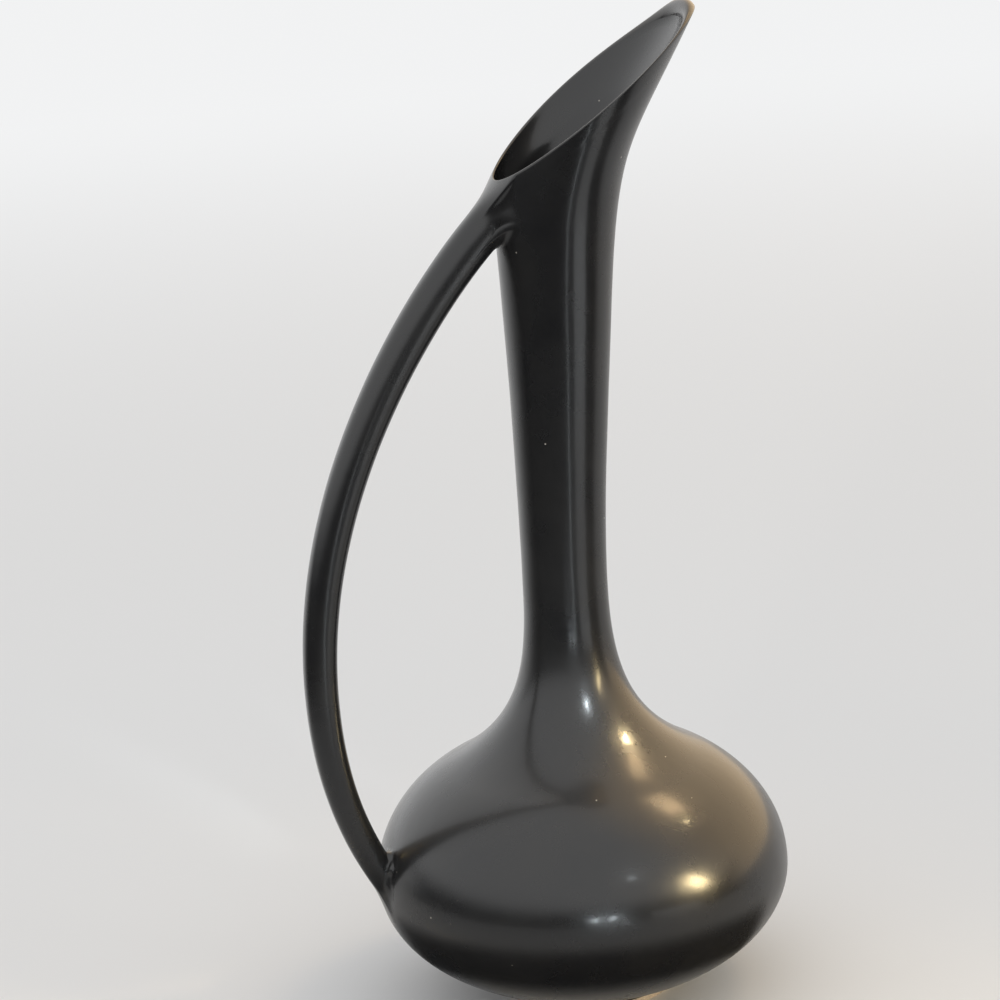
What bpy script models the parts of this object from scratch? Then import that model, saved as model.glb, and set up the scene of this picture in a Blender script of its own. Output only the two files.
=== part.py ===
"""A tall ewer in black glazed earthenware: low round bulb, long narrow neck, slanted
leaf-shaped mouth and one bowed handle. It is built as a potter builds one, from turned and
shaped sections that are joined with slip. Metres, +Z up. The origin is the middle of the
flat foot, the spout points along +X and the handle lies towards -X."""

import math

import bpy
import bmesh
from mathutils import Vector

# Joints: the clear gap between touching pieces, and the layer of slip between two sections
GAP = 0.0003
SLIP = 0.0010

# Foot
FOOT_RADIUS = 0.0390
FOOT_HEIGHT = 0.0042
FOOT_CHAMFER = 0.0008

# Clay wall
WALL = 0.0045
FLOOR = 0.0060

# Bulb: heights are steps up from the piece below
BULB_RADIUS = 0.0935
BULB_UNDER = 0.0502
CROWN_RISE = 0.0522
CROWN_RADIUS = 0.0591
CROWN_SLOPE = math.radians(28.5)
WIDEST_PULL = 0.0310
CROWN_PULL = 0.0058
COLLAR_RISE = 0.0320

# Neck
STEM_RISE = 0.0540
STEM_RADIUS = 0.0191
SHOULDER_PULL = 0.0420
STEM_PULL_BELOW = 0.0400
STEM_PULL_ABOVE = 0.0380
COLUMN_RISE = 0.1200
COLUMN_RADIUS = 0.0241
COLUMN_FLARE = 0.0585
COLUMN_PULL = 0.0250
NECK_LEAN = 0.0050
LEAN_START = 0.0358
LEAN_RISE = 0.1800

# Spout and mouth
SPOUT_RISE = 0.0568
MOUTH_BACK = 0.0208
MOUTH_LENGTH = 0.1173
MOUTH_SLANT = math.radians(36.2)
MOUTH_WIDTH = 0.0740
MOUTH_TAPER = 0.15
MOUTH_BOW = 0.0012
FRONT_PULL = 0.0750
TIP_PULL = 0.0640
TIP_LEAN = math.radians(30.0)
LIP = 0.0036
LIP_TIP = 0.0090
LIP_CROWN = 0.0022
LIP_TIP_CROWN = 0.0060
LIP_GATHER = 1.5

# Handle, in the plane of the spout
HANDLE_BITE = 0.0118
HANDLE_DROP = 0.0080
HANDLE_LOW_LEAN = math.radians(56.1)
HANDLE_LOW_PULL = 0.0355
HANDLE_STANDOFF = 0.0212
HANDLE_BELLY_RISE = 0.0997
BELLY_PULL_BELOW = 0.0476
BELLY_PULL_ABOVE = 0.1080
HANDLE_TOP_DROP = 0.0138
HANDLE_TOP_LEAN = math.radians(38.3)
HANDLE_TOP_PULL = 0.0200
HANDLE_LOW_THICKNESS = 0.0128
HANDLE_TOP_THICKNESS = 0.0184
HANDLE_LOW_WIDTH = 0.0136
HANDLE_TOP_WIDTH = 0.0172
HANDLE_SQUARENESS = 2.3

# Slip smoothed into the corners where the handle meets the body
FILLET = 0.0060
FILLET_EDGE = 0.0006
LEAST_REACH = 0.0006
LIP_SHARE = 0.7

# Facets
TURNED_STEPS = 48
NECK_STEPS = 40
SPOUT_STEPS = 40
HANDLE_STEPS = 20
OUTER_RINGS = 8
OUTER_SHOULDER_RINGS = 6
INNER_RINGS = 6
INNER_SHOULDER_RINGS = 5
SPOUT_RINGS = 10
SPOUT_INNER_RINGS = 8
HANDLE_RINGS = 32
ROUND_SHARES = (0.25, 0.5, 0.75)
SHARP_EDGE = math.radians(40)

# Searches: halvings of a stretch, steps of a first pass, passes that settle a point, and the
# least share of the bulb's round that is left to a point far below it
HALVINGS = 26
FIRST_PASS = 60
SETTLING = 4
LEAST_ROUND = 0.01

# Finishes: colour and roughness
BLACK_GLAZE = ((0.030, 0.032, 0.036), 0.34)
SLIP_GLAZE = ((0.034, 0.036, 0.040), 0.38)
BARE_CLAY = ((0.520, 0.430, 0.330), 0.85)

# Heights that follow from the sizes above
SEAT = FOOT_HEIGHT + GAP + SLIP + GAP
WIDEST = SEAT + BULB_UNDER
CROWN = WIDEST + CROWN_RISE
COLLAR = CROWN + COLLAR_RISE
STEM = COLLAR + STEM_RISE
SPOUT_START = STEM + COLUMN_RISE
MOUTH_LOW = SPOUT_START + SPOUT_RISE
HALF_SEAM = SLIP / 2 + GAP


def cubic(start, start_pull, end_pull, end, t):
    """Point of a cubic curve given by its two ends and the two points that pull it."""
    s = 1 - t
    return start * s ** 3 + start_pull * 3 * s * s * t + end_pull * 3 * s * t * t + end * t ** 3


# The turned outline, as stretches that give (radius, height) for t from 0 to 1

def under_line(t):
    depth = BULB_UNDER / math.sqrt(1 - (FOOT_RADIUS / BULB_RADIUS) ** 2)
    angle = (t - 1) * math.asin(BULB_UNDER / depth)
    return Vector((BULB_RADIUS * math.cos(angle), WIDEST + depth * math.sin(angle)))


def crown_line(t):
    slope = Vector((-math.cos(CROWN_SLOPE), math.sin(CROWN_SLOPE)))
    widest = Vector((BULB_RADIUS, WIDEST))
    crown = Vector((CROWN_RADIUS, CROWN))
    return cubic(widest, widest + Vector((0, WIDEST_PULL)), crown - slope * CROWN_PULL, crown, t)


def shoulder_line(t):
    slope = Vector((-math.cos(CROWN_SLOPE), math.sin(CROWN_SLOPE)))
    crown = Vector((CROWN_RADIUS, CROWN))
    stem = Vector((STEM_RADIUS, STEM))
    return cubic(crown, crown + slope * SHOULDER_PULL, stem - Vector((0, STEM_PULL_BELOW)), stem, t)


def column_line(t):
    stem = Vector((STEM_RADIUS, STEM))
    top = Vector((COLUMN_RADIUS, SPOUT_START))
    pull = Vector((COLUMN_FLARE, 1)) * COLUMN_PULL
    return cubic(stem, stem + Vector((0, STEM_PULL_ABOVE)), top - pull, top, t)


def inward(line, t, depth):
    """The outline's point at t, moved square to the outline into the clay."""
    step = 0.0001
    along = (line(t + step) - line(t - step)).normalized()
    return line(t) - Vector((along.y, -along.x)) * depth


def at_height(line, height, depth=0.0):
    """The t at which a stretch, or the face a given depth inside it, reaches a height."""
    low, high = 0.0, 1.0
    for _ in range(HALVINGS):
        middle = (low + high) / 2
        if inward(line, middle, depth).y < height:
            low = middle
        else:
            high = middle
    return (low + high) / 2


def spread(start, end, count):
    """Evenly spaced values, both ends included."""
    return [start + (end - start) * i / count for i in range(count + 1)]


def lean(height):
    """How far the neck's middle has moved towards the spout at a height."""
    rise = (height - COLLAR - LEAN_START) / LEAN_RISE
    rise = min(max(rise, 0.0), 1.0)
    return NECK_LEAN * rise * rise * (3 - 2 * rise)


# The spout: slices that fan out from the level top of the neck to the slanted mouth

def back_line(t):
    start = Vector((lean(SPOUT_START) - COLUMN_RADIUS, SPOUT_START))
    end = Vector((-MOUTH_BACK, MOUTH_LOW))
    pull = SPOUT_RISE / 3
    way = Vector((lean_slope() - COLUMN_FLARE, 1))
    return cubic(start, start + way * pull, end - Vector((0, pull)), end, t)


def front_line(t):
    start = Vector((lean(SPOUT_START) + COLUMN_RADIUS, SPOUT_START))
    slant = Vector((math.cos(MOUTH_SLANT), math.sin(MOUTH_SLANT)))
    end = Vector((-MOUTH_BACK, MOUTH_LOW)) + slant * MOUTH_LENGTH
    way = Vector((lean_slope() + COLUMN_FLARE, 1))
    tip_way = Vector((math.sin(TIP_LEAN), math.cos(TIP_LEAN)))
    return cubic(start, start + way * FRONT_PULL, end - tip_way * TIP_PULL, end, t)


def lean_slope():
    step = 0.0005
    return (lean(SPOUT_START) - lean(SPOUT_START - step)) / step


def slice_half_width(t):
    """Half the slice's width across the spout."""
    steady = COLUMN_FLARE * (SPOUT_RISE + 3 * FRONT_PULL) / 2
    return COLUMN_RADIUS + steady * t + (MOUTH_WIDTH / 2 - COLUMN_RADIUS - steady) * t ** 3


def slice_ring(t, back_inset=0.0, front_inset=0.0, side_inset=0.0):
    """One slice of the spout: round at the neck, drawn out to a leaf shape at the mouth."""
    along = (front_line(t) - back_line(t)).normalized()
    back = back_line(t) + along * back_inset
    front = front_line(t) - along * front_inset
    middle = (back + front) / 2
    half = (front - back) / 2
    up = Vector((-along.y, along.x))
    half_width = slice_half_width(t) - side_inset
    ring = []
    for i in range(SPOUT_STEPS):
        angle = 2 * math.pi * i / SPOUT_STEPS
        bow = MOUTH_BOW * t * t * math.sin(angle) ** 2
        place = middle + half * math.cos(angle) + up * bow
        side = half_width * math.sin(angle) * (1 - MOUTH_TAPER * t * math.cos(angle) ** 2)
        ring.append(Vector((place.x, side, place.y)))
    return ring


# How far a point stands off the outside of the body, which the handle's ends are fitted to.
# The fan of slices is taken to run on past the mouth, to this value of t.
FAN_END = 1.3


def off_bulb(point):
    """Level of a point against the bulb: nought on its outside, more outside it."""
    if point.z < WIDEST:
        depth = BULB_UNDER / math.sqrt(1 - (FOOT_RADIUS / BULB_RADIUS) ** 2)
        share = 1 - ((WIDEST - point.z) / depth) ** 2
        radius = BULB_RADIUS * math.sqrt(max(share, LEAST_ROUND))
    elif point.z < CROWN:
        radius = crown_line(at_height(crown_line, point.z)).x
    else:
        radius = shoulder_line(at_height(shoulder_line, point.z)).x
    return math.hypot(point.x, point.y) / radius - 1


def off_spout(point):
    """Level of a point against the neck and spout: nought on their outside."""
    if point.z < SPOUT_START:
        radius = column_line(at_height(column_line, point.z)).x
        return math.hypot(point.x - lean(point.z), point.y) / radius - 1
    place = Vector((point.x, point.z))
    low, high = 0.0, FAN_END
    for _ in range(HALVINGS):
        t = (low + high) / 2
        half = (front_line(t) - back_line(t)) / 2
        across = (place - back_line(t)).dot(half) / half.length_squared - 1
        up = Vector((-half.y, half.x)).normalized()
        if (place - back_line(t)).dot(up) > MOUTH_BOW * t * t * (1 - across ** 2):
            low = t
        else:
            high = t
    side = point.y / (slice_half_width(t) * (1 - MOUTH_TAPER * t * across ** 2))
    return math.sqrt(across ** 2 + side ** 2) - 1


def slope_of(level, point):
    """The way in which a level rises fastest, and how fast it rises."""
    step = 0.00002
    rise = []
    for axis in (Vector((step, 0, 0)), Vector((0, step, 0)), Vector((0, 0, step))):
        rise.append((level(point + axis) - level(point - axis)) / (2 * step))
    return Vector(rise)


def clearance(level, point):
    return level(point) / slope_of(level, point).length


def settle(level, point, gap):
    """The point moved square to the body until it stands a gap off it."""
    for _ in range(SETTLING):
        slope = slope_of(level, point)
        point = point + slope * ((gap - level(point) / slope.length) / slope.length)
    return point


# The handle: a path in the plane of the spout, and an oval section along it

HANDLE_BOTTOM = Vector((-(BULB_RADIUS - HANDLE_BITE), WIDEST - HANDLE_DROP))
HANDLE_BELLY = Vector((-(BULB_RADIUS + HANDLE_STANDOFF), WIDEST + HANDLE_BELLY_RISE))
HANDLE_TOP = Vector((-MOUTH_BACK, MOUTH_LOW - HANDLE_TOP_DROP))
BELLY = 0.5
RUN_ON = 0.30

# Where along the path each end's meeting with the body is looked for: clear of it, inside it
LOW_SEARCH = (0.34, -0.06)
TOP_SEARCH = (0.70, 1.08)

# The share of the handle over which each end's fit is blended in, and how far its ring closes
BLEND = 0.25
END_DRAW = 0.5


def handle_path(u):
    """The handle's middle line: u is 0 at the bottom, 1 at the top, and runs on straight."""
    low_way = Vector((-math.cos(HANDLE_LOW_LEAN), math.sin(HANDLE_LOW_LEAN)))
    top_way = Vector((math.cos(HANDLE_TOP_LEAN), math.sin(HANDLE_TOP_LEAN)))
    if u < 0:
        return HANDLE_BOTTOM + low_way * u * RUN_ON
    if u > 1:
        return HANDLE_TOP + top_way * (u - 1) * RUN_ON
    if u < BELLY:
        below = HANDLE_BELLY - Vector((0, BELLY_PULL_BELOW))
        return cubic(HANDLE_BOTTOM, HANDLE_BOTTOM + low_way * HANDLE_LOW_PULL, below, HANDLE_BELLY, u / BELLY)
    above = HANDLE_BELLY + Vector((0, BELLY_PULL_ABOVE))
    before = HANDLE_TOP - top_way * HANDLE_TOP_PULL
    return cubic(HANDLE_BELLY, above, before, HANDLE_TOP, (u - BELLY) / (1 - BELLY))


def handle_skin(u, angle, lift=0.0):
    """A point on the handle's outside, or lifted off it; angle 0 faces away from the neck."""
    step = 0.0005
    along = (handle_path(u + step) - handle_path(u - step)).normalized()
    outward = Vector((-along.y, 0, along.x))
    sideways = Vector((0, 1, 0))
    middle = handle_path(u)
    share = (middle.y - HANDLE_BOTTOM.y) / (HANDLE_TOP.y - HANDLE_BOTTOM.y)
    thick = HANDLE_LOW_THICKNESS + (HANDLE_TOP_THICKNESS - HANDLE_LOW_THICKNESS) * share
    wide = HANDLE_LOW_WIDTH + (HANDLE_TOP_WIDTH - HANDLE_LOW_WIDTH) * share
    out = math.cos(angle)
    side = math.sin(angle)
    power = 2 / HANDLE_SQUARENESS
    place = outward * math.copysign(abs(out) ** power, out) * thick / 2
    place += sideways * math.copysign(abs(side) ** power, side) * wide / 2
    face = outward * math.copysign(abs(out) ** (2 - power), out) / thick
    face += sideways * math.copysign(abs(side) ** (2 - power), side) / wide
    return Vector((middle.x, 0, middle.y)) + place + face.normalized() * lift


def meeting(level, angle, lift, gap, search):
    """Where one line along the handle comes within a gap of the body.

    The line is followed until it is inside the body and then back until it is clear again,
    because far from the body the slices of the spout cross and its level jumps."""
    steps = spread(*search, FIRST_PASS)
    at = 0
    while at < FIRST_PASS and level(handle_skin(steps[at], angle, lift)) > 0:
        at += 1
    while at > 0 and clearance(level, handle_skin(steps[at], angle, lift)) < gap:
        at -= 1
    clear, near = steps[at], steps[min(at + 1, FIRST_PASS)]
    for _ in range(HALVINGS):
        middle = (clear + near) / 2
        if clearance(level, handle_skin(middle, angle, lift)) < gap:
            near = middle
        else:
            clear = middle
    return (clear + near) / 2


def low_meeting(angle, lift, gap):
    return meeting(off_bulb, angle, lift, gap, LOW_SEARCH)


def top_meeting(angle, lift, gap):
    return meeting(off_spout, angle, lift, gap, TOP_SEARCH)


HANDLE_ANGLES = [2 * math.pi * i / HANDLE_STEPS for i in range(HANDLE_STEPS)]


# Building blocks

def finish_of(name, look):
    colour, roughness = look
    finish = bpy.data.materials.new(name)
    finish.use_nodes = True
    shader = finish.node_tree.nodes["Principled BSDF"]
    shader.inputs["Base Color"].default_value = (*colour, 1.0)
    shader.inputs["Roughness"].default_value = roughness
    shader.inputs["Metallic"].default_value = 0.0
    return finish


def new_piece(name, mesh, finish):
    mesh.materials.append(finish)
    mesh.shade_smooth()
    mesh.set_sharp_from_angle(angle=SHARP_EDGE)
    piece = bpy.data.objects.new(name, mesh)
    bpy.context.scene.collection.objects.link(piece)
    return piece


def turned(name, outline, finish):
    """A closed solid turned round the upright axis from an outline of (radius, height)."""
    form = bmesh.new()
    points = [form.verts.new((p[0], 0, p[1])) for p in outline]
    edges = [form.edges.new((a, b)) for a, b in zip(points, points[1:])]
    if outline[0][0] > 0:
        edges.append(form.edges.new((points[-1], points[0])))
    bmesh.ops.spin(form, geom=points + edges, cent=(0, 0, 0), axis=(0, 0, 1),
                   angle=2 * math.pi, steps=TURNED_STEPS, use_merge=True)
    bmesh.ops.remove_doubles(form, verts=form.verts, dist=0.000001)
    bmesh.ops.recalc_face_normals(form, faces=form.faces)
    mesh = bpy.data.meshes.new(name)
    form.to_mesh(mesh)
    form.free()
    return new_piece(name, mesh, finish)


def bridged(name, rings, finish, first_middle=None, last_middle=None):
    """A closed solid through rings of equal count, closed on itself or at two middle points."""
    form = bmesh.new()
    loops = [[form.verts.new(p) for p in ring] for ring in rings]
    pairs = list(zip(loops, loops[1:]))
    if first_middle is None:
        pairs.append((loops[-1], loops[0]))
    for one, other in pairs:
        for i in range(len(one)):
            j = (i + 1) % len(one)
            form.faces.new((one[i], one[j], other[j], other[i]))
    for middle, loop in ((first_middle, loops[0]), (last_middle, loops[-1])):
        if middle is not None:
            hub = form.verts.new(middle)
            for i in range(len(loop)):
                form.faces.new((hub, loop[i], loop[(i + 1) % len(loop)]))
    bmesh.ops.recalc_face_normals(form, faces=form.faces)
    mesh = bpy.data.meshes.new(name)
    form.to_mesh(mesh)
    form.free()
    return new_piece(name, mesh, finish)


def circle(radius, height, steps):
    """A level ring of points round the leaning middle of the neck."""
    ring = []
    for i in range(steps):
        angle = 2 * math.pi * i / steps
        ring.append(Vector((lean(height) + radius * math.cos(angle), radius * math.sin(angle), height)))
    return ring


def wall_ring(line, t, depth, steps):
    place = inward(line, t, depth)
    return circle(place.x, place.y, steps)


# Pieces

def make_foot():
    """Low pad that the ewer stands on, flat underneath and left free of glaze."""
    outline = [(0, 0), (FOOT_RADIUS - FOOT_CHAMFER, 0), (FOOT_RADIUS, FOOT_CHAMFER),
               (FOOT_RADIUS, FOOT_HEIGHT), (0, FOOT_HEIGHT)]
    return turned("foot", outline, finish_of("bare_clay", BARE_CLAY))


def make_foot_slip():
    """Layer of slip that holds the foot under the bulb."""
    bottom = FOOT_HEIGHT + GAP
    outline = [(0, bottom), (FOOT_RADIUS, bottom), (FOOT_RADIUS, bottom + SLIP), (0, bottom + SLIP)]
    return turned("foot_slip", outline, finish_of("foot_slip_glaze", SLIP_GLAZE))


def make_bulb():
    """Low round belly, hollow, open at the top where the neck is set on its collar."""
    rim = at_height(shoulder_line, COLLAR - HALF_SEAM)
    outline = [Vector((0, SEAT))]
    outline += [under_line(t) for t in spread(0, 1, OUTER_RINGS)]
    outline += [crown_line(t) for t in spread(0, 1, OUTER_RINGS)[1:]]
    outline += [shoulder_line(t) for t in spread(0, rim, OUTER_SHOULDER_RINGS)[1:]]
    outline += [inward(shoulder_line, t, WALL) for t in spread(rim, 0, INNER_SHOULDER_RINGS)]
    outline += [inward(crown_line, t, WALL) for t in spread(1, 0, INNER_RINGS)[1:]]
    floor_edge = at_height(under_line, SEAT + FLOOR, WALL)
    outline += [inward(under_line, t, WALL) for t in spread(1, floor_edge, INNER_RINGS)[1:]]
    outline += [Vector((0, SEAT + FLOOR))]
    return turned("bulb", outline, finish_of("bulb_glaze", BLACK_GLAZE))


def make_shoulder_slip():
    """Ring of slip in the seam between the bulb's collar and the neck."""
    low = at_height(shoulder_line, COLLAR - SLIP / 2)
    high = at_height(shoulder_line, COLLAR + SLIP / 2)
    corners = [(low, 0.0), (high, 0.0), (high, WALL), (low, WALL)]
    rings = [wall_ring(shoulder_line, t, depth, NECK_STEPS) for t, depth in corners]
    return bridged("shoulder_slip", rings, finish_of("shoulder_slip_glaze", SLIP_GLAZE))


def make_neck():
    """Long tube, narrowest a third of the way up and leaning a little to the spout."""
    start = at_height(shoulder_line, COLLAR + HALF_SEAM)
    end = at_height(column_line, SPOUT_START - 2 * HALF_SEAM)
    outside = [(shoulder_line, t) for t in spread(start, 1, OUTER_SHOULDER_RINGS)]
    outside += [(column_line, t) for t in spread(0, end, OUTER_RINGS)[1:]]
    inside = [(column_line, t) for t in spread(end, 0, INNER_RINGS)]
    inside += [(shoulder_line, t) for t in spread(1, start, INNER_SHOULDER_RINGS)[1:]]
    rings = [wall_ring(line, t, 0.0, NECK_STEPS) for line, t in outside]
    rings += [wall_ring(line, t, WALL, NECK_STEPS) for line, t in inside]
    return bridged("neck", rings, finish_of("neck_glaze", BLACK_GLAZE))


def make_spout_slip():
    """Ring of slip in the seam between the neck and the spout."""
    low = at_height(column_line, SPOUT_START - HALF_SEAM - SLIP / 2)
    high = at_height(column_line, SPOUT_START - HALF_SEAM + SLIP / 2)
    corners = [(low, 0.0), (high, 0.0), (high, WALL), (low, WALL)]
    rings = [wall_ring(column_line, t, depth, NECK_STEPS) for t, depth in corners]
    return bridged("spout_slip", rings, finish_of("spout_slip_glaze", SLIP_GLAZE))


def make_spout():
    """Flared pouring end, cut off on a slant, with a rounded lip that widens at the tip."""
    rings = [slice_ring(t) for t in spread(0, 1, SPOUT_RINGS)]
    outer = rings[-1]
    inner = slice_ring(1.0, LIP, LIP_TIP, LIP)
    up = Vector((-math.sin(MOUTH_SLANT), 0, math.cos(MOUTH_SLANT)))
    for share in ROUND_SHARES:
        turn = math.pi * share
        crown = []
        for i, (out, into) in enumerate(zip(outer, inner)):
            towards_tip = (1 + math.cos(2 * math.pi * i / SPOUT_STEPS)) / 2
            height = LIP_CROWN + (LIP_TIP_CROWN - LIP_CROWN) * towards_tip ** LIP_GATHER
            bend = (out - into) / 2 * math.cos(turn) + up * height * math.sin(turn)
            crown.append((out + into) / 2 + bend)
        rings.append(crown)
    for t in spread(1, 0, SPOUT_INNER_RINGS):
        side = WALL + (LIP - WALL) * t
        rings.append(slice_ring(t, side, WALL + (LIP_TIP - WALL) * t, side))
    return bridged("spout", rings, finish_of("spout_glaze", BLACK_GLAZE))


def end_rings(level, ring):
    """A ring drawn in over the body's outside to close a handle's end, and its middle."""
    middle = settle(level, sum(ring, Vector()) / len(ring), GAP)
    drawn_in = [settle(level, p.lerp(middle, END_DRAW), GAP) for p in ring]
    return drawn_in, middle


def make_handle():
    """Solid bowed handle, thicker at the top, its ends fitted to the bulb and the spout."""
    lows = [low_meeting(a, 0.0, GAP) for a in HANDLE_ANGLES]
    tops = [top_meeting(a, 0.0, GAP) for a in HANDLE_ANGLES]
    low = sum(lows) / len(lows)
    top = sum(tops) / len(tops)
    rings = []
    for share in spread(0, 1, HANDLE_RINGS):
        ring = []
        for angle, low_end, top_end in zip(HANDLE_ANGLES, lows, tops):
            u = low + (top - low) * share
            u += (low_end - low) * max(0.0, 1 - share / BLEND) ** 2
            u += (top_end - top) * max(0.0, 1 - (1 - share) / BLEND) ** 2
            ring.append(handle_skin(u, angle))
        rings.append(ring)
    low_ring, low_middle = end_rings(off_bulb, rings[0])
    top_ring, top_middle = end_rings(off_spout, rings[-1])
    rings = [low_ring] + rings + [top_ring]
    return bridged("handle", rings, finish_of("handle_glaze", BLACK_GLAZE), low_middle, top_middle)


def fillet_rings(level, meet, way, limit):
    """Rings of a ring of slip in the corner between the handle and the body.

    way is +1 where the handle runs up from the body and -1 where it runs down from it.
    limit gives how far the slip may spread over the body from a point of the corner."""
    sections = []
    for angle in HANDLE_ANGLES:
        corner_u = meet(angle, GAP, GAP)
        corner = handle_skin(corner_u, angle, GAP)
        outer_gap = GAP + FILLET_EDGE
        outer_u = meet(angle, outer_gap, outer_gap)
        outer_corner = handle_skin(outer_u, angle, outer_gap)
        step = 0.001
        pace = (handle_path(corner_u + step) - handle_path(corner_u - step)).length / (2 * step)
        end_u = corner_u + way * FILLET / pace
        body_way = slope_of(level, corner).normalized()
        handle_way = handle_skin(corner_u, angle, 2 * GAP) - corner
        spread_way = (handle_way - body_way * handle_way.dot(body_way)).normalized()
        reach = min(FILLET, limit(corner))
        on_handle = handle_skin(end_u, angle, GAP)
        lifted = handle_skin(end_u, angle, outer_gap)
        on_body = settle(level, corner + spread_way * reach, GAP)
        raised = settle(level, outer_corner + spread_way * reach, outer_gap)
        section = [corner, on_handle, lifted]
        for t in ROUND_SHARES:
            s = 1 - t
            section.append(lifted * s * s + outer_corner * 2 * s * t + raised * t * t)
        section += [raised, on_body]
        sections.append(section)
    return list(zip(*sections))


def make_lower_handle_slip():
    """Slip worked into the corner where the handle comes down on the bulb."""
    rings = fillet_rings(off_bulb, low_meeting, 1, lambda corner: FILLET)
    return bridged("lower_handle_slip", rings, finish_of("lower_slip_glaze", SLIP_GLAZE))


def make_upper_handle_slip():
    """Slip worked into the corner under the mouth, stopping short of the lip."""
    def below_lip(corner):
        return max(LEAST_REACH, (MOUTH_LOW - corner.z) * LIP_SHARE)

    rings = fillet_rings(off_spout, top_meeting, -1, below_lip)
    return bridged("upper_handle_slip", rings, finish_of("upper_slip_glaze", SLIP_GLAZE))


for thing in list(bpy.data.objects):
    bpy.data.objects.remove(thing, do_unlink=True)

make_foot()
make_foot_slip()
make_bulb()
make_shoulder_slip()
make_neck()
make_spout_slip()
make_spout()
make_handle()
make_lower_handle_slip()
make_upper_handle_slip()
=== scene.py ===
import math

import bpy
import numpy as np
from mathutils import Matrix, Vector, noise


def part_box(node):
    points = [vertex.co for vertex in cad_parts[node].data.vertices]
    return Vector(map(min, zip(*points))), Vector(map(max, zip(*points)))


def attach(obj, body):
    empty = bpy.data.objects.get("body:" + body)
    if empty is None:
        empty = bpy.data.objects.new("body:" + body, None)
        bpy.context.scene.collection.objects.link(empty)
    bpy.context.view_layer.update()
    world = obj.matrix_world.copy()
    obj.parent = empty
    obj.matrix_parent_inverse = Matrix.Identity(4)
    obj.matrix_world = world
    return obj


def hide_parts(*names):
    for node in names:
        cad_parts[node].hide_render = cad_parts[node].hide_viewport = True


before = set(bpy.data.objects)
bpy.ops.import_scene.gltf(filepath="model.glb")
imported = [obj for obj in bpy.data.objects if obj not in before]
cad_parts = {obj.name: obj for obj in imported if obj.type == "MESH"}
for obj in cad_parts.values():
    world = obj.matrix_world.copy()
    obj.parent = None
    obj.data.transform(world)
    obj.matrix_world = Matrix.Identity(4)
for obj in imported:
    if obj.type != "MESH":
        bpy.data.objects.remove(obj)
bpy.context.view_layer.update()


# The foot is a low pad of bare fired clay, turned flat underneath so that the ewer stands
# steady. It is left free of glaze, which would stick it to the kiln shelf.

FOOT_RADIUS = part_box("foot")[1].x
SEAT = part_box("bulb")[0].z
FOOT_TUCK = 0.0004
FOOT_GAP = 0.0002
FOOT_ROUNDING = 0.0008
ROUNDING_STEPS = 6
BASE_SHARES = (0.25, 0.5, 0.75, 0.95)
DARK_CLAY = (0.30, 0.23, 0.17, 1)
PALE_CLAY = (0.56, 0.47, 0.37, 1)
AROUND = 160


def ring_round(radius, height, middle_x=0.0):
    """A level ring of points."""
    angle = np.arange(AROUND) * 2 * math.pi / AROUND
    x, y = middle_x + radius * np.cos(angle), radius * np.sin(angle)
    return np.stack([x, y, np.full(AROUND, height)], -1)


def fired_piece(name, rings, first_middle, last_middle, finish):
    """A closed smooth surface through rings of points, closed at both ends by a middle point."""
    count = len(rings[0])
    points = [tuple(p) for ring in rings for p in ring]
    faces = []
    for row in range(len(rings) - 1):
        for i in range(count):
            j = (i + 1) % count
            a, b = row * count, (row + 1) * count
            faces.append((a + i, a + j, b + j, b + i))
    points += [tuple(first_middle), tuple(last_middle)]
    first, last, end = len(points) - 2, len(points) - 1, (len(rings) - 1) * count
    for i in range(count):
        j = (i + 1) % count
        faces.append((first, j, i))
        faces.append((last, end + i, end + j))
    mesh = bpy.data.meshes.new(name)
    mesh.from_pydata(points, [], faces)
    mesh.shade_smooth()
    mesh.materials.append(finish)
    piece = bpy.data.objects.new(name, mesh)
    bpy.context.scene.collection.objects.link(piece)
    return piece


def node_maker(finish):
    """A finish's nodes, and a helper that adds one, links its inputs and sets its values."""
    tree = finish.node_tree

    def add(kind, links=(), **values):
        node = tree.nodes.new(kind)
        for key, value in values.items():
            setattr(node, key, value)
        for name, source in dict(links).items():
            if isinstance(source, bpy.types.NodeSocket):
                tree.links.new(source, node.inputs[name])
            else:
                node.inputs[name].default_value = source
        return node

    return tree, add


def two_tones(add, value, low, high):
    """A colour that goes from one to another, each given with the value where it stands."""
    tone = add("ShaderNodeValToRGB", {"Fac": value})
    for stop, (position, colour) in zip(tone.color_ramp.elements, (low, high)):
        stop.position = position
        stop.color = colour
    return tone.outputs["Color"]


def bare_clay():
    """Buff earthenware with dark and light grit."""
    finish = bpy.data.materials.new("bare_clay")
    finish.use_nodes = True
    tree, add = node_maker(finish)
    shader = tree.nodes["Principled BSDF"]
    shader.inputs["Roughness"].default_value = 0.86
    place = add("ShaderNodeTexCoord").outputs["Object"]
    grit = add("ShaderNodeTexNoise", {"Vector": place, "Scale": 1400.0, "Detail": 4.0})
    cloud = add("ShaderNodeTexNoise", {"Vector": place, "Scale": 70.0, "Detail": 3.0})
    blend = add("ShaderNodeMath", {0: grit.outputs["Fac"], 1: cloud.outputs["Fac"]}, operation="MULTIPLY")
    tone = two_tones(add, blend.outputs["Value"], (0.12, DARK_CLAY), (0.40, PALE_CLAY))
    bump = add("ShaderNodeBump", {"Height": grit.outputs["Fac"], "Strength": 0.5, "Distance": 0.0003})
    tree.links.new(tone, shader.inputs["Base Color"])
    tree.links.new(bump.outputs["Normal"], shader.inputs["Normal"])
    return finish


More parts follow.
